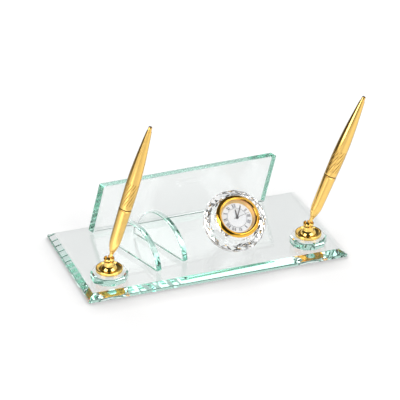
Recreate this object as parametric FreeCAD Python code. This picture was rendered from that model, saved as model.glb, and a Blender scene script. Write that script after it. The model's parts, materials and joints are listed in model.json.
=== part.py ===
import FreeCAD, Part
import math
import os

# Glass desk set: a bevelled plate carries a back panel, two half-disc letter fins,
# a cut-glass clock and two swivelling pen holders, each with a twist ball pen.
# Millimetres, +X to the right, +Y to the back, +Z up, origin under the middle of the plate.

os.makedirs("parts", exist_ok=True)
V = FreeCAD.Vector

# Plate
plate_width = 220.0
plate_depth = 115.0
plate_thick = 6.0
plate_bevel = 5.0
plate_edge = 2.5
arris = 0.5
bond = 0.05

# Back panel, with slanting ends
panel_length = 153.0
panel_height = 41.5
panel_thick = 7.5
panel_slant = 10.6
panel_skew = 2.0
panel_left = -75.7
panel_inset = 8.0
panel_turn = 1.6

# Letter fins
fin_radius = 31.9
fin_high = 29.5
fin_thick = 5.0
fin_turn = 18.2
fin_pitch = 26.4
fin_pair_x = -42.1
fin_pair_y = -2.8

# Pen stations
pad_radius = 15.1
pad_sides = 10
pad_height = 6.5
pad_bevel = 1.0
station_from_end = 24.6
station_from_front = 24.5
lean = {"left": 17.7, "right": 22.6}
run = 0.05
flange_radius = 10.9
flange_rim = 2.2
dish_floor = 1.2
dome_radius = 7.1
dome_top = 4.6
ball_radius = 3.6
ball_rise = 7.9
mouth_radius = 3.1
funnel_radius = 4.35
funnel_rise = 3.4
slot_count = 6
slot_width = 1.1
slot_depth = 1.5
seat_bore = 3.0

# Pen, measured along its axis from the middle of the ball
tip_at = -3.2
tip_radius = 1.0
throat_at = 7.5
throat_radius = 1.6
nose_at = 9.5
nose_radius = 2.3
neck_at = 13.5
neck_radius = 3.75
shoulder_at = 18.0
shoulder_radius = 4.5
grip_at = 31.0
grip_radius = 4.9
seam_at = 47.4
seam_radius = 5.25
ring_high = 1.2
ring_proud = 0.2
pen_end = 118.7
finial_high = 4.2
upper_at = pen_end - finial_high
belly_share = 0.277
belly_at = seam_at + belly_share * (upper_at - seam_at)
belly_radius = 5.5
taper_share = 0.665
taper_at = seam_at + taper_share * (upper_at - seam_at)
taper_radius = 4.3
top_radius = 1.75
core_radius = 3.2
core_below = 14.0
core_above = 12.0
refill_radius = 1.15
refill_spare = 14.0
needle_radius = 0.5
guide_run = 0.08
refill_travel = 2.5

# Clock: cut crystal and its drop-in movement
crystal_x = 27.8
crystal_y = -16.7
crystal_z = 28.6
face_turn = 2.0
face_tilt = 48.0
crystal_sides = 16
table_radius = 20.5
table_at = 7.4
crown_radius = 24.8
crown_at = 3.6
girdle_radius = 26.1
girdle_at = -2.0
pavilion_radius = 24.6
pavilion_at = -9.5
waist_radius = 19.5
waist_at = -16.5
tail_radius = 10.0
tail_at = -22.0
hole_radius = 17.4
hole_depth = 12.0
bezel_radius = 18.25
bezel_high = 2.4
sight_radius = 14.6
lens_thick = 1.2
cup_radius = 16.6
cup_back = 8.8
cup_wall = 0.8
gasket_high = 1.2
gasket_low = 5.6
dial_radius = 14.9
dial_thick = 0.4
dial_at = -2.2
inner_ring_sight = 12.7
hand_thick = 0.2
hand_gap = 0.35
hour_length = 7.0
minute_length = 10.4
second_length = 11.0
second_tail = 3.0
knob_radius = 2.4

axis_z = V(0, 0, 1)
centre = V(0, 0, 0)


def revolve(points):
    wire = Part.makePolygon([V(r, 0, z) for r, z in points + points[:1]])
    return Part.Face(wire).revolve(centre, axis_z, 360)


def curve(points):
    line = Part.BSplineCurve()
    line.interpolate([V(r, 0, z) for r, z in points])
    return line.toShape()


def arc(start, middle, end):
    return Part.Arc(*[V(r, 0, z) for r, z in (start, middle, end)]).toShape()


def line(start, end):
    return Part.makeLine(V(start[0], 0, start[1]), V(end[0], 0, end[1]))


def turned_from(edges):
    return Part.Face(Part.Wire(edges)).revolve(centre, axis_z, 360)


def prism(points, low, high):
    wire = Part.makePolygon([V(x, y, low) for x, y in points + points[:1]])
    return Part.Face(wire).extrude(V(0, 0, high - low))


def disc(radius, low, high):
    return Part.makeCylinder(radius, high - low, V(0, 0, low))


def tube(outer, inner, low, high):
    return disc(outer, low, high).cut(disc(inner, low - 1, high + 1))


def save(name, shape, place=None):
    solid = shape.copy()
    if place is not None:
        solid.Placement = place.multiply(solid.Placement)
    solid = solid.removeSplitter()
    solid.exportStep("parts/" + name + ".step")


def polyhedron(rings, sides):
    # Rings of corner points; a half step between two rings gives triangular cuts.
    def ring_points(ring):
        radius, height, shift = ring
        step = 2 * math.pi / sides
        angles = [(i + shift) * step for i in range(sides)]
        return [V(radius * math.cos(a), radius * math.sin(a), height) for a in angles]

    def face(corners):
        return Part.Face(Part.makePolygon(corners + corners[:1]))

    loops = [ring_points(ring) for ring in rings]
    faces = [face(loops[0]), face(loops[-1])]
    for (one, two, ring_one, ring_two) in zip(loops, loops[1:], rings, rings[1:]):
        turn = ring_two[2] - ring_one[2]
        for i in range(sides):
            j = (i + 1) % sides
            if turn == 0:
                faces.append(face([one[i], one[j], two[j], two[i]]))
            elif turn > 0:
                faces.append(face([one[i], one[j], two[i]]))
                faces.append(face([two[i], one[j], two[j]]))
            else:
                faces.append(face([one[i], two[j], two[i]]))
                faces.append(face([one[i], one[j], two[j]]))
    return Part.Solid(Part.Shell(faces))


# Plate with a wide bevel round the top
def rectangle(width, depth, z):
    x = width / 2
    y = depth / 2
    return Part.makePolygon([V(-x, -y, z), V(x, -y, z), V(x, y, z), V(-x, y, z), V(-x, -y, z)])


edge = Part.Face(rectangle(plate_width, plate_depth, 0)).extrude(V(0, 0, plate_edge))
top_width = plate_width - 2 * plate_bevel
top_depth = plate_depth - 2 * plate_bevel
slope = Part.makeLoft([rectangle(plate_width, plate_depth, plate_edge),
                       rectangle(top_width, top_depth, plate_thick)], True, True)
save("base_plate", edge.fuse(slope))

# Back panel standing on the plate
floor = plate_thick + bond


def slanted(shift, y):
    low = panel_left + shift
    outline = [V(low, y, floor), V(low + panel_length, y, floor),
               V(low + panel_length + panel_slant, y, floor + panel_height),
               V(low + panel_slant, y, floor + panel_height)]
    return Part.makePolygon(outline + outline[:1])


panel_back = plate_depth / 2 - panel_inset
panel_front = panel_back - panel_thick
panel = Part.makeLoft([slanted(0, panel_front), slanted(-panel_skew, panel_back)], True, True)
panel = panel.makeChamfer(arris, panel.Edges)
panel_middle = V(panel_left + panel_length / 2, (panel_front + panel_back) / 2, floor)
panel.rotate(panel_middle, axis_z, panel_turn)
save("back_panel", panel)

# Half-disc fins standing side by side
half = disc(fin_radius, 0, fin_thick)
half = half.common(Part.makeBox(2 * fin_radius, fin_high, fin_thick,
                                V(-fin_radius, fin_radius - fin_high, 0)))
half.translate(V(0, fin_high - fin_radius, 0))
half = half.makeChamfer(arris, half.Edges)
turn = math.radians(fin_turn)
across = V(math.cos(turn), math.sin(turn), 0)
along = V(-math.sin(turn), math.cos(turn), 0)
for side, way in (("left", -0.5), ("right", 0.5)):
    foot = V(fin_pair_x, fin_pair_y, floor) + across * (way * fin_pitch - fin_thick / 2)
    save("fin_" + side, half,
         FreeCAD.Placement(foot, FreeCAD.Rotation(along, axis_z, across, "ZXY")))

# Pen stations: a pad, a dished flange, a notched funnel, and a ball that grips the pen's nose
pad_top = floor + pad_height
ball_at = pad_top + bond + ball_rise
pad_turns = [math.radians((i + 0.5) * 360 / pad_sides) for i in range(pad_sides)]
pad = prism([(pad_radius * math.cos(t), pad_radius * math.sin(t)) for t in pad_turns], 0, pad_height)
pad = pad.makeChamfer(pad_bevel, [e for e in pad.Edges if e.BoundBox.ZMin > pad_height - 0.01])

bore_radius = ball_radius + run
dome_low = (dome_radius, dish_floor)
dome_side = ((dome_radius + funnel_radius) / 2 + 0.6, (dish_floor + dome_top) / 2 + 0.2)
dome_high = (funnel_radius, dome_top)
rim_out = (flange_radius, flange_rim)
rim_crown = (flange_radius - 0.7, flange_rim + 0.5)
rim_in = (flange_radius - 1.4, flange_rim)
dish_low = ((rim_in[0] + dome_radius) / 2, dish_floor - 0.1)
flange = turned_from([line((bore_radius, 0), (flange_radius, 0)), line((flange_radius, 0), rim_out),
                      arc(rim_out, rim_crown, rim_in), arc(rim_in, dish_low, dome_low),
                      arc(dome_low, dome_side, dome_high), line(dome_high, (bore_radius, dome_top)),
                      line((bore_radius, dome_top), (bore_radius, 0))])

globe = Part.makeSphere(bore_radius, V(0, 0, ball_rise))
funnel_top = ball_rise + funnel_rise
funnel = disc(funnel_radius, dome_top, funnel_top).cut(disc(bore_radius, 0, ball_rise)).cut(globe)
flare = revolve([(0, ball_rise), (mouth_radius, ball_rise),
                 (mouth_radius, ball_rise + funnel_rise / 2), (mouth_radius + 0.5, funnel_top + 0.1),
                 (0, funnel_top + 0.1)])
funnel = funnel.cut(flare)
slot = Part.makeBox(2 * funnel_radius, slot_width, slot_depth + 1,
                    V(0, -slot_width / 2, funnel_top - slot_depth))
for i in range(slot_count):
    one = slot.copy()
    one.rotate(centre, axis_z, (i + 0.5) * 360 / slot_count)
    funnel = funnel.cut(one)

seat_top = ball_rise - 0.6
seat = disc(ball_radius, run, seat_top).cut(globe)
seat = seat.cut(disc(seat_bore, 0, ball_rise - ball_radius + 0.1)).cut(disc(seat_bore - 0.8, 0, ball_rise))

# The ball's bore is the nose's own cone with a running fit.
cone_rise = (throat_radius - tip_radius) / (throat_at - tip_at)


def nose_cone(extra, low, high):
    return revolve([(0, low), (tip_radius + cone_rise * (low - tip_at) + extra, low),
                    (tip_radius + cone_rise * (high - tip_at) + extra, high), (0, high)])


ball = Part.makeSphere(ball_radius).cut(nose_cone(run, -ball_radius - 1, ball_radius + 1))

# Pen pieces
refill_top = upper_at - refill_spare
spine = disc(refill_radius + 0.5, nose_at - 1, upper_at)
guide = disc(needle_radius + guide_run, tip_at - 1, nose_at + 1)
nose = revolve([(0, tip_at), (tip_radius, tip_at), (throat_radius, throat_at), (nose_radius, nose_at),
                (0, nose_at)]).cut(guide)
core_low = seam_at - core_below
core_high = seam_at + core_above
socket = disc(core_radius + run, core_low - run, core_high + run)
seam_low = seam_at - ring_high
lower_start = (nose_radius + 0.4, nose_at + 0.6)
lower_end = (seam_radius, seam_low)
lower_side = [lower_start, (neck_radius, neck_at), (shoulder_radius, shoulder_at),
              (grip_radius, grip_at), lower_end]
lower = turned_from([line((0, nose_at), (nose_radius, nose_at)), line((nose_radius, nose_at), lower_start),
                     curve(lower_side), line(lower_end, (0, seam_low)),
                     line((0, seam_low), (0, nose_at))]).cut(spine).cut(socket)
seam_ring = tube(seam_radius + ring_proud, core_radius + run, seam_low, seam_at)
upper_low = seam_at + run
upper_start = (seam_radius, upper_low)
upper_end = (top_radius + 0.35, upper_at)
upper_side = [upper_start, (belly_radius, belly_at), (taper_radius, taper_at), upper_end]
upper = turned_from([line((0, upper_low), upper_start), curve(upper_side),
                     line(upper_end, (0, upper_at)), line((0, upper_at), (0, upper_low))]).cut(socket)
upper = upper.cut(disc(refill_radius + 0.5, seam_at, refill_top + 1))
finial = revolve([(0, upper_at), (top_radius, upper_at), (0.83 * top_radius, upper_at + 0.81 * finial_high),
                  (0.49 * top_radius, pen_end), (0, pen_end)])
core = tube(core_radius, refill_radius + guide_run, core_low, core_high)
needle_top = nose_at + refill_travel + 1
refill = revolve([(0, tip_at + 0.2), (needle_radius - 0.15, tip_at + 0.2),
                  (needle_radius, tip_at + 1.2), (needle_radius, needle_top),
                  (refill_radius, needle_top + 0.4), (refill_radius, refill_top), (0, refill_top)])

pen_pieces = {"swivel_ball": ball, "pen_nose": nose, "pen_lower": lower, "pen_ring": seam_ring,
              "pen_upper": upper, "pen_finial": finial, "pen_core": core, "refill": refill}
for side, way in (("left", -1), ("right", 1)):
    spot = V(way * (plate_width / 2 - station_from_end), station_from_front - plate_depth / 2, floor)
    upright = FreeCAD.Rotation()
    on_pad = FreeCAD.Placement(spot + V(0, 0, pad_height + bond), upright)
    save("pen_pad_" + side, pad, FreeCAD.Placement(spot, upright))
    save("flange_" + side, flange, on_pad)
    save("funnel_" + side, funnel, on_pad)
    save("ball_seat_" + side, seat, on_pad)
    leaning = FreeCAD.Rotation(V(0, 1, 0), lean[side])
    swing = FreeCAD.Placement(V(spot.x, spot.y, ball_at), leaning)
    for name, piece in pen_pieces.items():
        save(name + "_" + side, piece, swing)

# Cut crystal with a flat foot and a bored face for the clock
spin = math.radians(face_turn)
tip_up = math.radians(face_tilt)
face_x = V(math.cos(spin), math.sin(spin), 0)
face_out = V(math.sin(spin) * math.cos(tip_up), -math.cos(spin) * math.cos(tip_up), math.sin(tip_up))
face_way = FreeCAD.Rotation(face_x, face_out.cross(face_x), face_out, "ZXY")
heart = V(crystal_x, crystal_y, crystal_z)
crystal = polyhedron([(tail_radius, tail_at, 0.5), (waist_radius, waist_at, 0),
                      (pavilion_radius, pavilion_at, 0.5), (girdle_radius, girdle_at, 0),
                      (crown_radius, crown_at, 0.5), (table_radius, table_at, 0)], crystal_sides)
crystal = crystal.cut(disc(hole_radius, table_at - hole_depth, table_at + 1))
crystal.Placement = FreeCAD.Placement(heart, face_way)
foot_reach = 2 * girdle_radius
foot_cut = Part.makeBox(2 * foot_reach, 2 * foot_reach, foot_reach,
                        V(crystal_x - foot_reach, crystal_y - foot_reach, floor - foot_reach))
save("clock_crystal", crystal.cut(foot_cut))

# Clock pieces, along the face's own axis with the table at zero
face = FreeCAD.Placement(heart + face_out * (table_at + bond), face_way)
lens_low = bezel_high - 0.5 - lens_thick
cup_top = lens_low - 0.1
ledge_radius = cup_radius - 1.2
bezel = revolve([(sight_radius, lens_low + lens_thick), (sight_radius + 0.9, bezel_high),
                 (bezel_radius - 1.2, bezel_high), (bezel_radius - 0.3, bezel_high - 0.9),
                 (bezel_radius, 0.5), (bezel_radius, 0), (cup_radius + run, 0),
                 (cup_radius + run, cup_top), (ledge_radius, cup_top),
                 (ledge_radius, lens_low + lens_thick)])
save("clock_bezel", bezel, face)
save("clock_lens", disc(ledge_radius - run, lens_low, lens_low + lens_thick), face)
cup = disc(cup_radius, -cup_back, cup_top).cut(disc(cup_radius - cup_wall, -cup_back + cup_wall, cup_top + 1))
arbor_radius = 0.9
cup = cup.cut(disc(arbor_radius + run, -cup_back - 1, 0))
save("clock_cup", cup, face)
save("clock_gasket", tube(hole_radius - run, cup_radius, -gasket_low, -gasket_high), face)
inner_ring = revolve([(inner_ring_sight, dial_at), (ledge_radius - run, dial_at),
                      (ledge_radius - run, lens_low - run), (sight_radius - 0.2, lens_low - run)])
save("clock_inner_ring", inner_ring, face)
dial = tube(dial_radius, arbor_radius + run, dial_at - dial_thick, dial_at)
save("clock_dial", dial, face)
movement_top = dial_at - dial_thick
movement = disc(dial_radius - 1.2, -cup_back + cup_wall, movement_top).cut(disc(arbor_radius + run, -cup_back, 0))
cell_radius = 3.9
cell = disc(cell_radius, -cup_back + cup_wall, -cup_back + cup_wall + 2.6)
cell.translate(V(0, -dial_radius / 2 - 0.8, 0))
bay = disc(cell_radius + run, -cup_back, -cup_back + cup_wall + 2.6 + run)
bay.translate(V(0, -dial_radius / 2 - 0.8, 0))
save("clock_movement", movement.cut(bay), face)
save("clock_battery", cell, face)

hour_at = dial_at + 0.3
minute_at = hour_at + hand_gap
second_at = minute_at + hand_gap


def hand(length, tail, width, low, boss, bore):
    blade = prism([(-width / 2, -tail), (width / 2, -tail), (width / 4, length), (-width / 4, length)],
                  low, low + hand_thick)
    blade = blade.fuse(disc(boss, low, low + hand_thick))
    return blade.cut(disc(bore, low - 1, low + 1)) if bore else blade


def turned(shape, degrees):
    shape.rotate(centre, axis_z, -degrees)
    return shape


pipe = 0.65
needle = 0.35
hour = hand(hour_length, 0, 1.3, hour_at, 1.3, pipe + run)
hour = hour.fuse(tube(arbor_radius, pipe + run, movement_top + run, hour_at + hand_thick))
minute = hand(minute_length, 0, 0.9, minute_at, 1.1, needle + run)
minute = minute.fuse(tube(pipe, needle + run, -cup_back + cup_wall, minute_at + hand_thick))
second = hand(second_length, second_tail, 0.35, second_at, 0.8, 0)
second = second.fuse(disc(needle, -cup_back + 2 * cup_wall, second_at + hand_thick))
save("hour_hand", turned(hour, 3), face)
save("minute_hand", turned(minute, 32), face)
save("second_hand", turned(second, 78), face)
knob = disc(knob_radius, -cup_back - 1.6, -cup_back - run).fuse(disc(pipe, -cup_back - run, -cup_back + cup_wall - run))
save("setting_knob", knob, face)
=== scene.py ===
import bpy
import json
import math
from mathutils import Matrix, Vector


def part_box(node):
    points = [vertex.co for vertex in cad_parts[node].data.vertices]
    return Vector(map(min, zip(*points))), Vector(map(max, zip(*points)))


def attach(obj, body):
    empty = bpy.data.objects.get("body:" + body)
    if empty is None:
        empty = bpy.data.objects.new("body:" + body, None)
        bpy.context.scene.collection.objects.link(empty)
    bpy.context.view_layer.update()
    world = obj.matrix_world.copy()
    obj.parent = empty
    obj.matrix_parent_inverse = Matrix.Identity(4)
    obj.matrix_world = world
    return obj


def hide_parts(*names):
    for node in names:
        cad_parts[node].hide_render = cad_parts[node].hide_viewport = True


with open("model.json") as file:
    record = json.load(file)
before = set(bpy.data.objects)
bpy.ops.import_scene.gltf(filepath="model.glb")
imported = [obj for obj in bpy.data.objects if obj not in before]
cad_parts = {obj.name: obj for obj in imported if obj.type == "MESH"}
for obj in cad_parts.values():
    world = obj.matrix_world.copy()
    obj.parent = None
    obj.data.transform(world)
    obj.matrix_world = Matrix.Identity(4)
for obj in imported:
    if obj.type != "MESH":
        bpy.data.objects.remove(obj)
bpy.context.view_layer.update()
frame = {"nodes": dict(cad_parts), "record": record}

# Base plate: one sheet of clear float glass with a wide polished bevel round its top and a narrow
# dull seam where the bevel meets the upright edge. Everything else of glass is bonded to it with a
# clear film, so the bonded pieces join this mesh and light passes between them as in the real stand.
MM = 0.001
EDGE_BLUNT = 0.5 * MM
BOND_SINK = 0.02 * MM
FACING = 0.9


def start_fresh():
    if bpy.context.object and bpy.context.object.mode != "OBJECT":
        bpy.ops.object.mode_set(mode="OBJECT")
    bpy.ops.object.select_all(action="DESELECT")


def pick(piece):
    start_fresh()
    piece.select_set(True)
    bpy.context.view_layer.objects.active = piece


def named(name):
    piece = bpy.context.object
    piece.name = name
    piece.data.name = name
    return piece


def settle(piece):
    pick(piece)
    bpy.ops.object.transform_apply(location=True, rotation=True, scale=True)


def pick_faces(piece, wanted):
    pick(piece)
    bpy.ops.object.mode_set(mode="EDIT")
    bpy.ops.mesh.select_mode(type="FACE")
    bpy.ops.mesh.select_all(action="DESELECT")
    bpy.ops.object.mode_set(mode="OBJECT")
    for face in piece.data.polygons:
        face.select = wanted(face)
    bpy.ops.object.mode_set(mode="EDIT")


def blunt_edges(piece, width, segments=1, past=25):
    pick(piece)
    edge = piece.modifiers.new("blunt", "BEVEL")
    edge.width = width
    edge.segments = segments
    edge.limit_method = "ANGLE"
    edge.angle_limit = math.radians(past)
    bpy.ops.object.modifier_apply(modifier="blunt")


def cut_or_join(piece, other, operation):
    pick(piece)
    bond = piece.modifiers.new("bond", "BOOLEAN")
    bond.operation = operation
    bond.solver = "EXACT"
    bond.object = other
    bpy.ops.object.modifier_apply(modifier="bond")
    bpy.data.objects.remove(other, do_unlink=True)


plate_low, plate_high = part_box("base_plate")
plate_width = plate_high[0] - plate_low[0]
plate_depth = plate_high[1] - plate_low[1]
plate_top = plate_high[2]
plate_edge = 2.5 * MM
plate_bevel = 5.0 * MM
plate_seam = 0.42 * MM
start_fresh()
bpy.ops.mesh.primitive_cube_add(size=1, location=(0, 0, plate_edge / 2))
stand = named("glass_stand")
stand.scale = (plate_width, plate_depth, plate_edge)
settle(stand)
pick_faces(stand, lambda face: face.normal.z > FACING)
bpy.ops.mesh.extrude_region_move(TRANSFORM_OT_translate={"value": (0, 0, plate_top - plate_edge)})
bpy.ops.transform.resize(value=(1 - 2 * plate_bevel / plate_width, 1 - 2 * plate_bevel / plate_depth, 1))
bpy.ops.object.mode_set(mode="OBJECT")
blunt_edges(stand, plate_seam)

# Back panel: an upright sheet of the same glass, its ends cut on the slant and ground.
# It stands near the plate's rear edge on a clear bond line, turned a little from the edge.
panel_length = 153.0 * MM
panel_thick = 7.5 * MM
panel_slant = 10.6 * MM
panel_skew = 2.0 * MM
panel_left = -75.7 * MM
panel_inset = 8.0 * MM
panel_turn = math.radians(1.6)
panel_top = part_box("back_panel")[1][2]
panel_middle = Vector((panel_left + panel_length / 2, plate_depth / 2 - panel_inset - panel_thick / 2, 0))
start_fresh()
bpy.ops.mesh.primitive_cube_add(size=1, location=(0, 0, (plate_top - BOND_SINK + panel_top) / 2))
panel = named("panel")
panel.scale = (panel_length, panel_thick, panel_top - plate_top + BOND_SINK)
settle(panel)
for way, shift in (((0, 0, 1), panel_slant), ((0, 1, 0), -panel_skew)):
    pick_faces(panel, lambda face: face.normal.dot(Vector(way)) > FACING)
    bpy.ops.transform.translate(value=(shift, 0, 0))
    bpy.ops.object.mode_set(mode="OBJECT")
blunt_edges(panel, EDGE_BLUNT)
panel.matrix_world = Matrix.Translation(panel_middle) @ Matrix.Rotation(panel_turn, 4, "Z")
settle(panel)
cut_or_join(stand, panel, "UNION")

# Letter fins: two segments cut from glass discs, standing side by side at an angle.
# Letters and cards lean between them; their flat edge is bonded to the plate.
fin_radius = 31.9 * MM
fin_high = 29.5 * MM
fin_thick = 5.0 * MM
fin_sides = 192
fin_turn = math.radians(18.2)
fin_pitch = 26.4 * MM
fin_middle = Vector((-42.1 * MM, -2.8 * MM, plate_top - BOND_SINK))
across = Vector((math.cos(fin_turn), math.sin(fin_turn), 0))
along = Vector((-math.sin(fin_turn), math.cos(fin_turn), 0))
upright = Matrix((along, (0, 0, 1), across)).transposed().to_4x4()
for way in (-0.5, 0.5):
    start_fresh()
    bpy.ops.mesh.primitive_cylinder_add(vertices=fin_sides, radius=fin_radius, depth=fin_thick)
    fin = named("fin")
    bpy.ops.object.mode_set(mode="EDIT")
    bpy.ops.mesh.select_all(action="SELECT")
    bpy.ops.mesh.bisect(plane_co=(0, fin_radius - fin_high, 0), plane_no=(0, 1, 0),
                        clear_inner=True, use_fill=True)
    bpy.ops.mesh.select_all(action="SELECT")
    bpy.ops.transform.translate(value=(0, fin_high - fin_radius, 0))
    bpy.ops.object.mode_set(mode="OBJECT")
    blunt_edges(fin, EDGE_BLUNT)
    fin.matrix_world = Matrix.Translation(fin_middle + across * way * fin_pitch) @ upright
    settle(fin)
    cut_or_join(stand, fin, "UNION")

# Pen pads: thick ten-sided blocks of glass under the pen holders, bonded near the front corners.
# The whole stand's float glass is finished here: colourless across the sheet, sea green where light
# runs far inside it, satin on the panel's ground ends, dull on the seams. The fins' rims carry painted
# shade: sea green that darkens towards their foot on the plate, standing in for light run far inside.
joint = {one["name"]: one for one in frame["record"]["behaviour"]["joints"]}
SIDES = ("left", "right")
pivot = {side: Vector(joint["holder_tilt_" + side]["pos_m"]) for side in SIDES}
pad_radius = 15.1 * MM
pad_sides = 10
pad_bevel = 1.0 * MM
pad_seam = 0.35 * MM
pad_slope = 0.5
facet_angle = math.radians(12)
pad_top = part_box("pen_pad_left")[1][2]
pad_foot = plate_top - BOND_SINK
for side in SIDES:
    start_fresh()
    bpy.ops.mesh.primitive_cylinder_add(vertices=pad_sides, radius=pad_radius, depth=pad_top - pad_foot,
                                        location=(pivot[side].x, pivot[side].y, (pad_top + pad_foot) / 2))
    pad = named("pad")
    settle(pad)
    pick_faces(pad, lambda face: face.normal.z > FACING)
    bpy.ops.mesh.bevel(offset=pad_bevel, segments=1, affect="EDGES")
    bpy.ops.object.mode_set(mode="OBJECT")
    pick_faces(pad, lambda face: face.normal.z > pad_slope)
    bpy.ops.mesh.region_to_loop()
    bpy.ops.mesh.bevel(offset=pad_seam, segments=1, affect="EDGES")
    bpy.ops.object.mode_set(mode="OBJECT")
    cut_or_join(stand, pad, "UNION")
pick(stand)
bpy.ops.object.shade_smooth_by_angle(angle=facet_angle)

float_glass = bpy.data.materials.new("float_glass")
float_glass.use_nodes = True
tree = float_glass.node_tree
shader = tree.nodes["Principled BSDF"]
shader.inputs["IOR"].default_value = 1.52
shader.inputs["Transmission Weight"].default_value = 1.0
tint = tree.nodes.new("ShaderNodeVolumeAbsorption")
tint.inputs["Color"].default_value = (0.11, 0.67, 0.50, 1)
tint.inputs["Density"].default_value = 6.0
tree.links.new(tint.outputs["Volume"], tree.nodes["Material Output"].inputs["Volume"])
spot = tree.nodes.new("ShaderNodeTexCoord")
place = tree.nodes.new("ShaderNodeSeparateXYZ")
tree.links.new(spot.outputs["Object"], place.inputs[0])
facing = tree.nodes.new("ShaderNodeNewGeometry")


def between(value, low, high):
    inside = tree.nodes.new("ShaderNodeMath")
    inside.operation = "COMPARE"
    inside.inputs[1].default_value = (low + high) / 2
    inside.inputs[2].default_value = (high - low) / 2
    tree.links.new(value, inside.inputs[0])
    return inside.outputs[0]


def both(one, other):
    product = tree.nodes.new("ShaderNodeMath")
    product.operation = "MULTIPLY"
    tree.links.new(one, product.inputs[0])
    tree.links.new(other, product.inputs[1])
    return product.outputs[0]


def eased(value, start, end, low=0.0, high=1.0):
    ease = tree.nodes.new("ShaderNodeMapRange")
    ease.inputs["From Min"].default_value = start
    ease.inputs["From Max"].default_value = end
    ease.inputs["To Min"].default_value = low
    ease.inputs["To Max"].default_value = high
    tree.links.new(value, ease.inputs["Value"])
    return ease.outputs["Result"]


def leaning(vector, way):
    dot = tree.nodes.new("ShaderNodeVectorMath")
    dot.operation = "DOT_PRODUCT"
    dot.inputs[1].default_value = way
    tree.links.new(vector, dot.inputs[0])
    return dot.outputs["Value"]


def square_to(way, slack):
    return between(leaning(facing.outputs["Normal"], way), -slack, slack)


panel_front = Vector((math.sin(panel_turn), -math.cos(panel_turn), 0))
panel_from = panel_middle.y - panel_thick
panel_slack = 0.35
fin_slack = 0.3
far_off = 1.0
bond_line = plate_top + 0.2 * MM
over_plate = between(place.outputs["Z"], bond_line, far_off)
at_panel = both(over_plate, between(place.outputs["Y"], panel_from, far_off))
ground = both(at_panel, square_to(panel_front, panel_slack))
fin_reach = fin_pitch / 2 + fin_radius * math.sin(fin_turn) + fin_thick
beside_fins = both(between(place.outputs["X"], fin_middle.x - fin_reach, fin_middle.x + fin_reach),
                   between(place.outputs["Y"], -far_off, panel_from))
fin_rim = both(over_plate, both(beside_fins, square_to(across, fin_slack)))
green_share = 0.6

grit = tree.nodes.new("ShaderNodeTexNoise")
grit.inputs["Scale"].default_value = 700
grit.inputs["Detail"].default_value = 2
tree.links.new(spot.outputs["Object"], grit.inputs["Vector"])
satin = eased(grit.outputs["Fac"], 0.35, 0.65, 0.10, 0.32)
tree.links.new(both(satin, ground), shader.inputs["Roughness"])
# Painted shade on the fins' rims: dark sea green at the plate, paling to clear part way up.
climb = eased(place.outputs["Z"], plate_top, plate_top + green_share * fin_high)
painted_rim_shade = tree.nodes.new("ShaderNodeValToRGB")
painted_rim_shade.color_ramp.elements[0].color = (0.04, 0.40, 0.26, 1)
painted_rim_shade.color_ramp.elements[1].color = (1.0, 1.0, 1.0, 1)
painted_rim_shade.color_ramp.elements.new(0.55).color = (0.40, 0.80, 0.68, 1)
tree.links.new(climb, painted_rim_shade.inputs["Fac"])
ground_tone = tree.nodes.new("ShaderNodeMix")
ground_tone.data_type = "RGBA"
ground_tone.inputs["A"].default_value = (1, 1, 1, 1)
ground_tone.inputs["B"].default_value = (0.60, 0.90, 0.80, 1)
tree.links.new(ground, ground_tone.inputs["Factor"])
tone = tree.nodes.new("ShaderNodeMix")
tone.data_type = "RGBA"
tree.links.new(fin_rim, tone.inputs["Factor"])
tree.links.new(ground_tone.outputs["Result"], tone.inputs["A"])
tree.links.new(painted_rim_shade.outputs["Color"], tone.inputs["B"])
tree.links.new(tone.outputs["Result"], shader.inputs["Base Color"])


def finished(name, dark, light, rough, metal, scale, detail):
    coat = bpy.data.materials.new(name)
    coat.use_nodes = True
    tree = coat.node_tree
    shader = tree.nodes["Principled BSDF"]
    spot = tree.nodes.new("ShaderNodeTexCoord")
    grain = tree.nodes.new("ShaderNodeTexNoise")
    grain.inputs["Scale"].default_value = scale
    grain.inputs["Detail"].default_value = detail
    tree.links.new(spot.outputs["Object"], grain.inputs["Vector"])
    tone = tree.nodes.new("ShaderNodeValToRGB")
    tone.color_ramp.elements[0].color = (*dark, 1)
    tone.color_ramp.elements[1].color = (*light, 1)
    tree.links.new(grain.outputs["Fac"], tone.inputs["Fac"])
    tree.links.new(tone.outputs["Color"], shader.inputs["Base Color"])
    shader.inputs["Roughness"].default_value = rough
    shader.inputs["Metallic"].default_value = metal
    return coat


seamed_glass = finished("seamed_glass", (0.12, 0.24, 0.20), (0.22, 0.36, 0.31), 0.5, 0.0, 500, 2)
seam_heights = (plate_edge, pad_top - pad_bevel)
seam_slope = (0.2, 0.65)
stand.data.materials.clear()
for material in (float_glass, seamed_glass):
    stand.data.materials.append(material)
for face in stand.data.polygons:
    on_seam = any(abs(face.center.z - height) < plate_seam for height in seam_heights)
    if on_seam and seam_slope[0] < face.normal.z < seam_slope[1]:
        face.material_index = 1
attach(stand, "stand")
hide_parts("base_plate", "back_panel", "fin_left", "fin_right", "pen_pad_left", "pen_pad_right")

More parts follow.
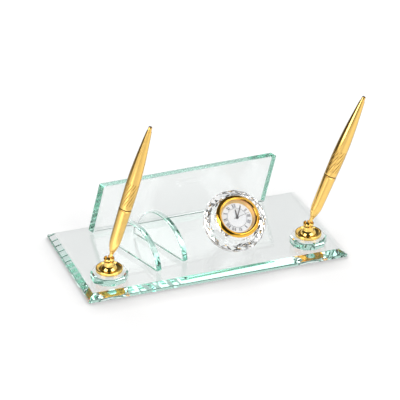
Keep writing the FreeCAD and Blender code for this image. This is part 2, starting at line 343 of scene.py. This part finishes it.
# Clock crystal: a block of clear lead crystal with faint casting streaks, cut in rings of facets
# and polished. A level foot rests on the plate, and the slanting face is bored for the clock.
crystal_glass = bpy.data.materials.new("crystal_glass")
crystal_glass.use_nodes = True
tree = crystal_glass.node_tree
shader = tree.nodes["Principled BSDF"]
shader.inputs["Roughness"].default_value = 0.0
shader.inputs["IOR"].default_value = 1.56
shader.inputs["Transmission Weight"].default_value = 1.0
spot = tree.nodes.new("ShaderNodeTexCoord")
streaks = tree.nodes.new("ShaderNodeTexNoise")
streaks.inputs["Scale"].default_value = 130
streaks.inputs["Detail"].default_value = 3
streaks.inputs["Distortion"].default_value = 1.5
tree.links.new(spot.outputs["Object"], streaks.inputs["Vector"])
tone = tree.nodes.new("ShaderNodeValToRGB")
tone.color_ramp.elements[0].position = 0.35
tone.color_ramp.elements[0].color = (0.98, 0.988, 0.985, 1)
tone.color_ramp.elements[1].position = 0.55
tone.color_ramp.elements[1].color = (1.0, 1.0, 1.0, 1)
tree.links.new(streaks.outputs["Fac"], tone.inputs["Fac"])
tree.links.new(tone.outputs["Color"], shader.inputs["Base Color"])
crystal = frame["nodes"]["clock_crystal"]
crystal.data.materials.clear()
crystal.data.materials.append(crystal_glass)

# Holder flanges: dished discs with a dome in the middle, turned from brass and gold plated.
# Each is bonded to its pad with clear glue, so the gold is seen through the glass;
# the bright plating has faint polishing haze under a clear lacquer.
SMOOTH_ANGLE = math.radians(32)
GLUE_FILM = 0.05 * MM


def draw_up(radius, height, next_radius, next_height):
    rise = (0, 0, (next_height - height) * MM)
    widen = next_radius / radius
    bpy.ops.mesh.extrude_region_move(TRANSFORM_OT_translate={"value": rise})
    bpy.ops.transform.resize(value=(widen, widen, 1), center_override=(0, 0, next_height * MM))


# A turned piece is drawn from rings of radius and height in millimetres, from its foot or bore upwards.
def turn_on_lathe(name, rings, sides=96, bored=False):
    start_fresh()
    radius, height = rings[0]
    bpy.ops.mesh.primitive_circle_add(vertices=sides, radius=radius * MM, location=(0, 0, height * MM),
                                      fill_type="NOTHING" if bored else "NGON")
    piece = named(name)
    bpy.ops.object.mode_set(mode="EDIT")
    bpy.ops.mesh.select_mode(type="VERT")
    bpy.ops.mesh.select_all(action="SELECT")
    for next_radius, next_height in rings[1:]:
        draw_up(radius, height, next_radius, next_height)
        radius, height = next_radius, next_height
    if bored:
        bpy.ops.mesh.select_all(action="DESELECT")
        bpy.ops.mesh.select_non_manifold()
        bpy.ops.mesh.bridge_edge_loops()
    bpy.ops.mesh.select_all(action="SELECT")
    bpy.ops.mesh.normals_make_consistent(inside=False)
    bpy.ops.object.mode_set(mode="OBJECT")
    settle(piece)
    bpy.ops.object.shade_smooth_by_angle(angle=SMOOTH_ANGLE)
    return piece


def bow(middle_radius, middle_height, radius, start, end, steps, rise=1.0):
    rings = []
    for i in range(steps + 1):
        angle = math.radians(start + (end - start) * i / steps)
        height = middle_height + rise * radius * math.sin(angle)
        rings.append((middle_radius + radius * math.cos(angle), height))
    return rings


def set_in_place(piece, place):
    piece.matrix_world = place
    settle(piece)


def plated(name, colour, smooth, hazy, grain):
    gold = bpy.data.materials.new(name)
    gold.use_nodes = True
    tree = gold.node_tree
    shader = tree.nodes["Principled BSDF"]
    shader.inputs["Metallic"].default_value = 1.0
    shader.inputs["Coat Weight"].default_value = 0.4
    spot = tree.nodes.new("ShaderNodeTexCoord")
    haze = tree.nodes.new("ShaderNodeTexNoise")
    haze.inputs["Scale"].default_value = grain
    haze.inputs["Detail"].default_value = 5.0
    tree.links.new(spot.outputs["Object"], haze.inputs["Vector"])
    polish = tree.nodes.new("ShaderNodeMapRange")
    polish.inputs["To Min"].default_value = smooth
    polish.inputs["To Max"].default_value = hazy
    tree.links.new(haze.outputs["Fac"], polish.inputs["Value"])
    tree.links.new(polish.outputs["Result"], shader.inputs["Roughness"])
    tone = tree.nodes.new("ShaderNodeValToRGB")
    tone.color_ramp.elements[0].position = 0.3
    tone.color_ramp.elements[0].color = (colour[0] * 0.94, colour[1] * 0.92, colour[2] * 0.86, 1)
    tone.color_ramp.elements[1].position = 0.7
    tone.color_ramp.elements[1].color = (*colour, 1)
    tree.links.new(haze.outputs["Fac"], tone.inputs["Fac"])
    tree.links.new(tone.outputs["Color"], shader.inputs["Base Color"])
    return gold


def dress(piece, material, body, slot, *nodes):
    piece.data.materials.clear()
    piece.data.materials.append(material)
    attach(piece, body)
    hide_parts(*nodes)


bright_gold = plated("bright_gold", (0.95, 0.66, 0.17), 0.03, 0.07, 180)
# Painted light: the flanges' glued undersides, seen through the pads, use a brighter and redder copy of
# the gold that offsets the glass's green and dimming.
painted_under_glass_gold = plated("painted_under_glass_gold", (1.0, 0.34, 0.02), 0.03, 0.10, 180)
on_pad = {side: Matrix.Translation((pivot[side].x, pivot[side].y, pad_top + GLUE_FILM)) for side in SIDES}
bore_radius = 3.65
flange_sink = -0.09
flange_rings = [(bore_radius, flange_sink), (10.6, flange_sink), (10.9, 0.35)]
flange_rings += bow(10.2, 2.2, 0.7, 0, 180, 12)
flange_rings += [(9.2, 1.85), (8.8, 1.5), (8.3, 1.22), (7.7, 1.1), (7.25, 1.12)]
flange_rings += bow(0.9, -0.35, 6.35, 14, 56, 16, rise=0.95)
flange_rings += [(4.36, 4.58), (bore_radius, 4.58)]
for side in SIDES:
    flange = turn_on_lathe("holder_flange_" + side, flange_rings, bored=True)
    set_in_place(flange, on_pad[side])
    dress(flange, bright_gold, "stand", "gold", "flange_" + side)
    # The downward faces take the painted under-glass gold.
    flange.data.materials.append(painted_under_glass_gold)
    for face in flange.data.polygons:
        if face.normal.z < -FACING:
            face.material_index = 1

# Holder funnels: short upright collars on the domes, crimped over the ball.
# Saw slots round the rim leave springy teeth that hold the ball down.
funnel_foot = 4.6
funnel_top = 11.3
ball_rise = 7.9
mouth_radius = 3.1
slot_width = 1.1
slot_depth = 1.5
slot_turns = (30, 90, 150)
saw_long = 12
saw_high = 2
funnel_rings = [(bore_radius, funnel_foot), (4.35, funnel_foot), (4.35, funnel_foot + 0.25),
                (4.12, funnel_foot + 0.7), (4.1, funnel_top - 2.9), (4.2, funnel_top - 2.4),
                (4.35, funnel_top - 2.1), (4.35, funnel_top - 0.25), (4.15, funnel_top),
                (mouth_radius + 0.6, funnel_top), (mouth_radius + 0.3, funnel_top - 0.8),
                (mouth_radius, funnel_top - 1.7)]
funnel_rings += bow(0, ball_rise, bore_radius, 31, 0, 6)
for side in SIDES:
    funnel = turn_on_lathe("holder_funnel_" + side, funnel_rings, bored=True)
    for turn in slot_turns:
        start_fresh()
        bpy.ops.mesh.primitive_cube_add(size=1, rotation=(0, 0, math.radians(turn)),
                                        location=(0, 0, (funnel_top - slot_depth + saw_high / 2) * MM))
        saw = named("saw")
        saw.scale = (saw_long * MM, slot_width * MM, saw_high * MM)
        settle(saw)
        cut_or_join(funnel, saw, "DIFFERENCE")
    pick(funnel)
    bpy.ops.object.shade_smooth_by_angle(angle=SMOOTH_ANGLE)
    set_in_place(funnel, on_pad[side])
    dress(funnel, bright_gold, "stand", "gold", "funnel_" + side)

# Swivel balls: drilled balls that sit in the funnels and grip the pens' noses.
# The drilled hole is the nose's own cone with a running fit.
ball_radius = 3.6


def lean_of(side):
    axis = Vector(joint["pen_lift_" + side]["axis"])
    return Matrix.Translation(pivot[side]) @ Matrix.Rotation(math.atan2(axis.x, axis.z), 4, "Y")


hole_low = 1.06
hole_high = 1.51
ball_from = -72
ball_to = 65
ball_rings = [(hole_low, ball_radius * math.sin(math.radians(ball_from)))]
ball_rings += bow(0, 0, ball_radius, ball_from, ball_to, 24)
ball_rings.append((hole_high, ball_radius * math.sin(math.radians(ball_to))))
for side in SIDES:
    ball = turn_on_lathe("holder_ball_" + side, ball_rings, sides=64, bored=True)
    set_in_place(ball, lean_of(side))
    dress(ball, bright_gold, "holder_" + side, "gold", "swivel_ball_" + side)

# Pens: turned brass twist pens with a satin gold plate.
# The nose screws into the lower barrel, a thin ring marks the twist joint, and the upper
# barrel has a band of spiral cuts above the ring and a drawn-out end with a small finial.
satin_gold = plated("satin_gold", (0.97, 0.63, 0.18), 0.13, 0.19, 260)
# Painted shade in the spiral cuts: their flanks take a darker bronze gold.
painted_cut_shade = plated("painted_cut_shade", (0.50, 0.29, 0.06), 0.25, 0.35, 260)
# Painted shade: a dark brown for the seam ring's groove and the finial's very tip.
painted_tip_and_seam_shade = plated("painted_tip_and_seam_shade", (0.14, 0.07, 0.02), 0.35, 0.45, 260)
seam_at = 47.4
ring_high = 1.2
upper_at = 114.5
pen_end = 118.7


def flowing(points, steps):
    rings = []
    ends = [points[0]] + points + [points[-1]]
    for i in range(1, len(ends) - 2):
        before, start, end, after = [Vector(one) for one in ends[i - 1:i + 3]]
        slope = end - before
        bend = 2 * before - 5 * start + 4 * end - after
        swing = 3 * start - before - 3 * end + after
        for k in range(steps):
            t = k / steps
            rings.append(tuple(0.5 * (2 * start + slope * t + bend * t * t + swing * t ** 3)))
    return rings + [points[-1]]


guide_radius = 0.58
spine_radius = 1.65
socket_radius = 3.25
socket_low = 33.3
socket_high = 59.5
spine_high = 101.5
ring_foot = seam_at - ring_high
nose_rings = [(guide_radius, -3.2), (0.8, -3.2), (1.0, -3.0), (1.58, 7.2), (1.62, 7.5), (1.95, 8.4),
              (2.25, 9.2), (2.3, 9.5), (guide_radius, 9.5)]
lower_rings = [(spine_radius, 9.52), (2.3, 9.52), (2.66, 10.0)]
lower_rings += flowing([(2.7, 10.1), (3.75, 13.5), (4.5, 18.0), (4.9, 31.0), (5.25, ring_foot - 0.35)], 7)
lower_rings += [(5.05, ring_foot - 0.05), (4.7, ring_foot - 0.02), (socket_radius, ring_foot - 0.02),
                (socket_radius, socket_low), (spine_radius, socket_low)]
drill_rings = [(socket_radius, seam_at - 1), (socket_radius, socket_high), (spine_radius, socket_high),
               (spine_radius, spine_high)]
ring_rings = [(3.3, ring_foot), (5.2, ring_foot), (5.27, ring_foot + 0.08), (5.3, seam_at - 0.62),
              (5.2, seam_at - 0.55), (4.75, seam_at - 0.5), (4.75, seam_at), (3.3, seam_at)]
groove_foot = seam_at - 0.56
tip_foot = pen_end - 0.9
finial_rings = [(1.75, upper_at), (1.72, upper_at + 0.5), (1.45, pen_end - 0.8), (1.2, pen_end - 0.3),
                (0.85, pen_end - 0.05), (0.4, pen_end)]
cut_low = 51.0
cut_high = 70.0
cut_count = 16
cut_columns = 7
cut_twist = math.radians(3.9)
cut_rows = 16
cut_end = 0.5
cut_depth = 0.965
cut_flank = 0.98
skin_radius = 4.6
barrel_foot = (4.7, seam_at + 0.06)
barrel_chamfer = (5.05, seam_at + 0.1)
upper_shape = flowing([(5.25, seam_at + 0.5), (5.42, 56.0), (5.5, 66.0), (5.2, 78.0), (4.3, 92.0),
                       (3.1, 105.0), (2.1, upper_at)], 6)


def width_at(height):
    for (r0, h0), (r1, h1) in zip(upper_shape, upper_shape[1:]):
        if h0 <= height <= h1:
            return r0 + (r1 - r0) * (height - h0) / (h1 - h0)
    return upper_shape[-1][0]


def cut_spirals(piece):
    sides = cut_count * cut_columns
    pick(piece)
    bpy.ops.object.mode_set(mode="EDIT")
    bpy.ops.mesh.select_mode(type="VERT")
    bpy.ops.mesh.select_all(action="DESELECT")
    bpy.ops.object.mode_set(mode="OBJECT")
    for corner in piece.data.vertices:
        height = corner.co.z / MM
        on_skin = math.hypot(corner.co.x, corner.co.y) > skin_radius * MM
        turned = min(max(height, cut_low), cut_high) - cut_low
        corner.select = False
        if on_skin and cut_low + cut_end < height < cut_high - cut_end:
            bearing = math.atan2(corner.co.y, corner.co.x) - turned * cut_twist
            column = round(bearing * sides / math.tau)
            corner.select = column % cut_columns == 0
    bpy.ops.object.mode_set(mode="EDIT")
    bpy.ops.transform.resize(value=(cut_depth, cut_depth, 1), center_override=(0, 0, 0))
    bpy.ops.object.mode_set(mode="OBJECT")


def spiral_barrel(name):
    sides = cut_count * cut_columns
    band = [cut_low + i * (cut_high - cut_low) / cut_rows for i in range(cut_rows + 1)]
    heights = sorted(set([h for r, h in upper_shape if not cut_low < h < cut_high] + band))
    radius, height = barrel_foot
    start_fresh()
    bpy.ops.mesh.primitive_circle_add(vertices=sides, radius=radius * MM, location=(0, 0, height * MM),
                                      fill_type="NGON")
    piece = named(name)
    bpy.ops.object.mode_set(mode="EDIT")
    bpy.ops.mesh.select_mode(type="VERT")
    bpy.ops.mesh.select_all(action="SELECT")
    steps = [barrel_chamfer] + [(width_at(h), h) for h in heights]
    for next_radius, next_height in steps:
        draw_up(radius, height, next_radius, next_height)
        turn = min(max(next_height, cut_low), cut_high) - min(max(height, cut_low), cut_high)
        if turn > 0:
            bpy.ops.transform.rotate(value=-turn * cut_twist, orient_axis="Z", center_override=(0, 0, 0))
        radius, height = next_radius, next_height
    bpy.ops.mesh.select_all(action="SELECT")
    bpy.ops.mesh.normals_make_consistent(inside=False)
    bpy.ops.object.mode_set(mode="OBJECT")
    settle(piece)
    cut_spirals(piece)
    cut_or_join(piece, turn_on_lathe("drill", drill_rings, sides=48), "DIFFERENCE")
    bpy.ops.object.shade_smooth_by_angle(angle=SMOOTH_ANGLE)
    return piece


# The cuts' flanks get the painted cut shade.
def shade_cuts(piece):
    piece.data.materials.append(painted_cut_shade)
    for face in piece.data.polygons:
        corners = [piece.data.vertices[i].co for i in face.vertices]
        reach = [math.hypot(c.x, c.y) for c in corners]
        middle = sum(c.z for c in corners) / len(corners) / MM
        on_flank = len(corners) == 4 and min(reach) < cut_flank * max(reach)
        if cut_low < middle < cut_high and on_flank:
            face.material_index = 1


# Paints shade on every face above the given height.
def paint_shade_above(piece, height):
    piece.data.materials.append(painted_tip_and_seam_shade)
    for face in piece.data.polygons:
        if face.center.z > height * MM:
            face.material_index = 1


for side in SIDES:
    nose = turn_on_lathe("pen_nose_cone_" + side, nose_rings, bored=True)
    dress(nose, satin_gold, "pen_" + side, "gold", "pen_nose_" + side)
    lower = turn_on_lathe("pen_lower_barrel_" + side, lower_rings, bored=True)
    dress(lower, satin_gold, "pen_" + side, "gold", "pen_lower_" + side)
    finial = turn_on_lathe("pen_finial_end_" + side, finial_rings)
    dress(finial, satin_gold, "top_" + side, "gold", "pen_finial_" + side)
    paint_shade_above(finial, tip_foot)
    seam_ring = turn_on_lathe("pen_seam_ring_" + side, ring_rings, bored=True)
    dress(seam_ring, satin_gold, "pen_" + side, "gold", "pen_ring_" + side)
    paint_shade_above(seam_ring, groove_foot)
    upper = spiral_barrel("pen_upper_barrel_" + side)
    dress(upper, satin_gold, "top_" + side, "gold", "pen_upper_" + side)
    shade_cuts(upper)
    for piece in (nose, lower, finial, seam_ring, upper):
        set_in_place(piece, lean_of(side))

# Clock bezel: a turned brass ring, gold plated and polished, with a sloping crowned band
# that rises to a lip round the lens. It carries the whole drop-in clock.
face_out = Vector(joint["clock_lift"]["axis"])
face_across = Vector((-face_out.y, face_out.x, 0)).normalized()
face_middle = Vector(joint["minute_turn"]["pos_m"])
face_up = face_out.cross(face_across)
face_turn = Matrix((face_across, face_up, face_out)).transposed().to_4x4()
on_face = Matrix.Translation(face_middle) @ face_turn
clock_sides = 128
bezel_rings = [(16.7, 0.05), (18.1, 0.05), (18.25, 0.2), (18.25, 0.75), (18.15, 0.95), (17.6, 1.36),
               (17.0, 1.74), (16.4, 2.08), (15.9, 2.3), (15.7, 2.36), (15.5, 2.37), (15.35, 2.3),
               (15.2, 2.18), (14.9, 1.98), (14.6, 1.9), (14.6, 1.86), (15.4, 1.86), (15.4, 0.62),
               (16.65, 0.62)]
deep_gold = plated("deep_gold", (0.95, 0.53, 0.06), 0.03, 0.06, 180)
bezel = turn_on_lathe("clock_bezel_ring", bezel_rings, sides=clock_sides, bored=True)
set_in_place(bezel, on_face)
dress(bezel, deep_gold, "clock_insert", "gold", "clock_bezel")

# Lens: a flat disc of clear mineral glass, ground to size and pressed in under the bezel's lip.
# It is so thin and clean that only its gloss is seen, so it is kept nearly invisible.
lens_glass = bpy.data.materials.new("lens_glass")
lens_glass.use_nodes = True
shader = lens_glass.node_tree.nodes["Principled BSDF"]
shader.inputs["Base Color"].default_value = (1, 1, 1, 1)
shader.inputs["Roughness"].default_value = 0.0
shader.inputs["IOR"].default_value = 1.5
shader.inputs["Alpha"].default_value = 0.05
lens = frame["nodes"]["clock_lens"]
lens.data.materials.clear()
lens.data.materials.append(lens_glass)

# Inner ring: a sloping ring of brass between lens and dial, stepped once and plated in a pale,
# softly blasted gold. It rests on the dial and holds the lens up against the bezel.
dial_at = -2.2
pale_gold = plated("pale_gold", (1.0, 0.66, 0.20), 0.30, 0.40, 220)
inner_rings = [(15.3, dial_at + 0.02), (15.3, 0.5), (14.5, 0.5), (13.8, -0.55), (13.65, -0.75),
               (13.55, -0.95), (12.95, -1.85), (12.75, -2.1), (12.7, dial_at + 0.02)]
inner_ring = turn_on_lathe("clock_rehaut", inner_rings, sides=clock_sides, bored=True)
set_in_place(inner_ring, on_face)
dress(inner_ring, pale_gold, "clock_insert", "gold", "clock_inner_ring")

# Dial: a white lacquered disc with printed Roman hours and one fine circle inside them.
# The prints are thin raised strokes, thick and fine as in ordinary dial lettering.
dial_white = finished("dial_white", (0.89, 0.925, 0.97), (0.94, 0.97, 1.0), 0.45, 0.0, 300, 3)
print_ink = finished("print_ink", (0.03, 0.04, 0.07), (0.06, 0.07, 0.11), 0.4, 0.0, 900, 2)
dial_face = dial_at - 0.02
dial_rings = [(0.95, dial_at - 0.4), (14.7, dial_at - 0.4), (14.9, dial_at - 0.2), (14.9, dial_face),
              (8.6, dial_face), (8.5, dial_at - 0.05), (8.1, dial_at - 0.05), (8.0, dial_face),
              (0.95, dial_face)]
dial = turn_on_lathe("clock_face", dial_rings, sides=clock_sides, bored=True)
set_in_place(dial, on_face)
dress(dial, dial_white, "clock_insert", "dial_white", "clock_dial")

HOURS = ("XII", "I", "II", "III", "IIII", "V", "VI", "VII", "VIII", "IX", "X", "XI")
hour_radius = 10.25
hour_high = 2.9
thick_stroke = 0.55
fine_stroke = 0.26
plain_stroke = 0.44
print_thick = 0.06
serif_room = 0.35
letter_width = {"I": 0.78, "V": 1.75, "X": 1.75}


def stroke(low_x, high_x, middle, width, turn):
    length = math.hypot(high_x - low_x, hour_high)
    slant = math.atan2(high_x - low_x, hour_high)
    spot = Matrix.Translation((middle * MM, hour_radius * MM, dial_at * MM))
    start_fresh()
    bpy.ops.mesh.primitive_cube_add(size=1)
    mark = named("stroke")
    mark.matrix_world = on_face @ Matrix.Rotation(-turn, 4, "Z") @ spot @ Matrix.Rotation(-slant, 4, "Z")
    mark.scale = (width * MM, length * MM, print_thick * MM)
    settle(mark)
    return mark


marks = []
for hour, letters in enumerate(HOURS):
    turn = math.tau * hour / 12
    cursor = -sum(letter_width[one] for one in letters) / 2
    for one in letters:
        middle = cursor + letter_width[one] / 2
        lean = letter_width[one] / 2 - serif_room
        if one == "I":
            marks.append(stroke(0, 0, middle, plain_stroke, turn))
        elif one == "V":
            marks.append(stroke(0, -lean, middle - lean / 2, thick_stroke, turn))
            marks.append(stroke(0, lean, middle + lean / 2, fine_stroke, turn))
        else:
            marks.append(stroke(lean, -lean, middle, thick_stroke, turn))
            marks.append(stroke(-lean, lean, middle, fine_stroke, turn))
        cursor += letter_width[one]
start_fresh()
for mark in marks:
    mark.select_set(True)
bpy.context.view_layer.objects.active = marks[0]
bpy.ops.object.join()
numerals = named("dial_numerals")
numerals.data.materials.clear()
numerals.data.materials.append(print_ink)
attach(numerals, "clock_insert")
print_top = dial_at + 0.03
circle_rings = [(8.16, dial_face), (8.42, dial_face), (8.42, print_top), (8.16, print_top)]
circle = turn_on_lathe("dial_circle", circle_rings, sides=clock_sides, bored=True)
set_in_place(circle, on_face)
circle.data.materials.append(print_ink)
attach(circle, "clock_insert")

# Hands, movement and case: black lacquered hands on the movement's arbor, a plastic
# movement with its cell in a pressed case, a rubber ring that grips the crystal's bore,
# and the nylon and brass pieces inside the pen holders and pens.
hand_lacquer = finished("hand_lacquer", (0.02, 0.02, 0.025), (0.05, 0.05, 0.06), 0.35, 0.0, 700, 4)
nylon = finished("nylon", (0.75, 0.75, 0.71), (0.86, 0.86, 0.83), 0.5, 0.0, 400, 4)
inside_brass = finished("inside_brass", (0.66, 0.50, 0.22), (0.80, 0.63, 0.30), 0.3, 1.0, 300, 4)
case_metal = finished("case_metal", (0.74, 0.74, 0.75), (0.86, 0.86, 0.87), 0.3, 1.0, 300, 4)
ring_rubber = finished("ring_rubber", (0.74, 0.74, 0.72), (0.84, 0.84, 0.82), 0.6, 0.0, 500, 4)
black_plastic = finished("black_plastic", (0.08, 0.08, 0.09), (0.14, 0.14, 0.15), 0.45, 0.0, 600, 4)
cell_steel = finished("cell_steel", (0.62, 0.62, 0.64), (0.74, 0.74, 0.76), 0.25, 1.0, 400, 4)
inside = {"hour_hand": hand_lacquer, "minute_hand": hand_lacquer, "second_hand": hand_lacquer,
          "clock_cup": case_metal, "clock_gasket": ring_rubber, "clock_movement": black_plastic,
          "setting_knob": black_plastic, "clock_battery": cell_steel}
for side in SIDES:
    inside["ball_seat_" + side] = nylon
    inside["pen_core_" + side] = nylon
    inside["refill_" + side] = inside_brass
for name, material in inside.items():
    node = frame["nodes"][name]
    node.data.materials.clear()
    node.data.materials.append(material)

# Studio: a white floor that keeps the set's shadow and has a painted contact shadow where the glass
# meets it, three large soft boxes and a dark ceiling, which gives the gold its dark reflections and the
# glass its grey sheen. White cards round the floor show in the gold as streaks, strongest at the front
# left.
FLOOR_GLOW = 0.83
FLOOR_GLOW_SEEN = 0.34
FLOOR_LIGHT = 0.93
FLOOR_THROUGH_GLASS = 0.87
CARD_POWER = 2.15
CARD_LIGHT = ((0.0, 0.42), (0.05, 0.5), (0.09, 0.95), (0.125, 0.95), (0.16, 0.40), (0.25, 0.42),
              (0.33, 0.55), (0.45, 0.48), (0.52, 0.22), (0.60, 0.18), (0.69, 0.24), (0.73, 0.07),
              (0.90, 0.07), (0.95, 0.26), (1.0, 0.42))
SHADOW_REACH = 20 * MM
SHADOW_DEPTH = 0.26
SHADOW_LEAN = (0.25, 0.62, 0.74)


def either(one, other):
    larger = tree.nodes.new("ShaderNodeMath")
    larger.operation = "MAXIMUM"
    tree.links.new(one, larger.inputs[0])
    tree.links.new(other, larger.inputs[1])
    return larger.outputs[0]


def gold_ray(path):
    rough_only = tree.nodes.new("ShaderNodeMath")
    rough_only.operation = "SUBTRACT"
    rough_only.use_clamp = True
    tree.links.new(path.outputs["Is Reflection Ray"], rough_only.inputs[0])
    tree.links.new(path.outputs["Is Singular Ray"], rough_only.inputs[1])
    return rough_only.outputs[0]


def chosen_by(chance, otherwise, when, kind="FLOAT"):
    choice = tree.nodes.new("ShaderNodeMix")
    choice.data_type = kind
    tree.links.new(chance, choice.inputs["Factor"])
    for name, light in (("A", otherwise), ("B", when)):
        if isinstance(light, bpy.types.NodeSocket):
            tree.links.new(light, choice.inputs[name])
        elif kind == "RGBA":
            choice.inputs[name].default_value = (light, light, light, 1)
        else:
            choice.inputs[name].default_value = light
    return choice.outputs["Result"]


def layered(chance, under, over):
    layers = tree.nodes.new("ShaderNodeMixShader")
    tree.links.new(chance, layers.inputs[0])
    tree.links.new(under.outputs[0], layers.inputs[1])
    tree.links.new(over.outputs[0], layers.inputs[2])
    return layers


floor_paint = bpy.data.materials.new("floor_paint")
floor_paint.use_nodes = True
tree = floor_paint.node_tree
paint = tree.nodes["Principled BSDF"]
paint.inputs["Base Color"].default_value = (0.88, 0.88, 0.88, 1)
paint.inputs["Roughness"].default_value = 0.7
glow = tree.nodes.new("ShaderNodeEmission")
path = tree.nodes.new("ShaderNodeLightPath")
camera_ray = path.outputs["Is Camera Ray"]
glass_ray = path.outputs["Is Transmission Ray"]
shown = either(either(camera_ray, glass_ray), path.outputs["Is Glossy Ray"])
share = both(shown, chosen_by(camera_ray, FLOOR_GLOW, FLOOR_GLOW_SEEN))
spot = tree.nodes.new("ShaderNodeTexCoord")
distance = tree.nodes.new("ShaderNodeVectorMath")
distance.operation = "LENGTH"
tree.links.new(spot.outputs["Object"], distance.inputs[0])
far_seen = both(eased(distance.outputs["Value"], 0.45, 0.90), camera_ray)

# Painted contact shadow: ambient occlusion round a normal leaning to the rear darkens the floor the
# camera sees, to the front and left of the glass.
lean = tree.nodes.new("ShaderNodeCombineXYZ")
for axis, amount in enumerate(SHADOW_LEAN):
    lean.inputs[axis].default_value = amount
painted_contact_shadow = tree.nodes.new("ShaderNodeAmbientOcclusion")
painted_contact_shadow.inputs["Distance"].default_value = SHADOW_REACH
tree.links.new(lean.outputs[0], painted_contact_shadow.inputs["Normal"])
near_shade = both(eased(painted_contact_shadow.outputs["AO"], 0.98, 0.70, high=SHADOW_DEPTH), camera_ray)
dark = tree.nodes.new("ShaderNodeEmission")
dark.inputs["Strength"].default_value = 0.0
lit_floor = layered(either(share, far_seen), paint, glow)
shaded_floor = layered(near_shade, lit_floor, dark)
tree.links.new(shaded_floor.outputs[0], tree.nodes["Material Output"].inputs["Surface"])

bearing = tree.nodes.new("ShaderNodeTexGradient")
bearing.gradient_type = "RADIAL"
tree.links.new(spot.outputs["Object"], bearing.inputs["Vector"])
cards = tree.nodes.new("ShaderNodeValToRGB")
for place, light in CARD_LIGHT:
    if place == 0.0:
        card = cards.color_ramp.elements[0]
    elif place == 1.0:
        card = cards.color_ramp.elements[-1]
    else:
        card = cards.color_ramp.elements.new(place)
    card.color = (light, light, light, 1)
tree.links.new(bearing.outputs["Fac"], cards.inputs["Fac"])
card_light = tree.nodes.new("ShaderNodeMath")
card_light.operation = "MULTIPLY"
card_light.inputs[1].default_value = CARD_POWER
tree.links.new(cards.outputs["Color"], card_light.inputs[0])
in_mirrors = chosen_by(gold_ray(path), FLOOR_LIGHT, card_light.outputs[0])
in_sheets = chosen_by(glass_ray, in_mirrors, FLOOR_THROUGH_GLASS)
tree.links.new(chosen_by(far_seen, in_sheets, 1.0), glow.inputs["Strength"])
start_fresh()
bpy.ops.mesh.primitive_plane_add(size=8, location=(0, 0, -0.02 * MM))
floor = named("floor")
floor.data.materials.append(floor_paint)

world = bpy.data.worlds.new("studio")
bpy.context.scene.world = world
world.use_nodes = True
tree = world.node_tree
room = tree.nodes["Background"]
room.inputs["Strength"].default_value = 1.0
spot = tree.nodes.new("ShaderNodeTexCoord")
split = tree.nodes.new("ShaderNodeSeparateXYZ")
tree.links.new(spot.outputs["Generated"], split.inputs[0])
path = tree.nodes.new("ShaderNodeLightPath")


def room_light(stops):
    ramp = tree.nodes.new("ShaderNodeValToRGB")
    ramp.color_ramp.elements.new(0.75)
    for stop, (place, light) in zip(ramp.color_ramp.elements, stops):
        stop.position = place
        stop.color = (light, light, light * 1.01, 1)
    tree.links.new(split.outputs["Z"], ramp.inputs["Fac"])
    return ramp.outputs["Color"]


def panel_of_light(way, start, end, around, light):
    return chosen_by(eased(leaning(spot.outputs["Generated"], way), start, end), around, light, "RGBA")


in_glass = room_light(((0.10, 1.0), (0.32, 0.60), (0.75, 0.95)))
in_gold = room_light(((0.06, 1.0), (0.28, 0.16), (0.75, 0.07)))
window = chosen_by(eased(path.outputs["Ray Depth"], 5, 8), 1.15, 2.6, "RGBA")
backdrop = panel_of_light((0.30, 0.83, 0.47), 0.90, 0.97, in_glass, window)
behind_camera = panel_of_light((-0.30, -0.80, 0.52), 0.54, 0.68, backdrop, 0.06)
side_wall = panel_of_light((0.93, 0.05, 0.36), 0.74, 0.83, in_gold, 0.9)
left_gap = panel_of_light((-0.72, 0.69, 0.05), 0.80, 0.92, side_wall, 0.05)
front_gap = panel_of_light((-0.36, -0.84, 0.42), 0.93, 0.965, left_gap, 0.04)
in_sheen = chosen_by(path.outputs["Is Reflection Ray"], behind_camera, in_glass, "RGBA")
mirrored = chosen_by(gold_ray(path), in_sheen, front_gap, "RGBA")
fill = chosen_by(path.outputs["Is Diffuse Ray"], mirrored, 0.28, "RGBA")
tree.links.new(chosen_by(path.outputs["Is Camera Ray"], fill, 1.0, "RGBA"), room.inputs["Color"])


def soft_box(name, place, size, power):
    lamp = bpy.data.lights.new(name, "AREA")
    lamp.shape = "SQUARE"
    lamp.size = size
    lamp.energy = power
    box = bpy.data.objects.new(name, lamp)
    bpy.context.scene.collection.objects.link(box)
    box.location = place
    box.rotation_euler = (Vector((0, 0, 0.02)) - Vector(place)).to_track_quat("-Z", "Y").to_euler()
    return box


soft_box("soft_box_left", place=(-1.00, -0.31, 0.70), size=0.80, power=7.6)
soft_box("soft_box_right", place=(0.56, -0.81, 0.76), size=0.80, power=7.6)
rear_box = soft_box("soft_box_rear", place=(0.30, 1.15, 0.95), size=1.20, power=22)
rear_box.visible_glossy = False
rear_box.visible_transmission = False

# Camera: a long lens in front of the set, a little to the left and above it.
# Clear glass behind clear glass needs many light paths before the view comes out clean.
aim = Vector((18.23 * MM, 40.83 * MM, 20 * MM))
camera_far = 1.9163
azimuth = math.radians(-20.017)
elevation = math.radians(27.97)
focal_pixels = 2300
frame_pixels = 400
light_paths = 96
level = math.cos(elevation)
back = Vector((math.sin(azimuth) * level, -math.cos(azimuth) * level, math.sin(elevation)))
long_lens = bpy.data.cameras.new("camera")
long_lens.sensor_width = 36
long_lens.lens = focal_pixels / frame_pixels * long_lens.sensor_width
long_lens.clip_end = 20
camera = bpy.data.objects.new("camera", long_lens)
bpy.context.scene.collection.objects.link(camera)
camera.location = aim + back * camera_far
camera.rotation_euler = (-back).to_track_quat("-Z", "Y").to_euler()
bpy.context.scene.camera = camera
bpy.context.scene.view_settings.view_transform = "Standard"
bpy.context.scene.cycles.max_bounces = light_paths
bpy.context.scene.cycles.transmission_bounces = light_paths
bpy.context.scene.cycles.glossy_bounces = light_paths
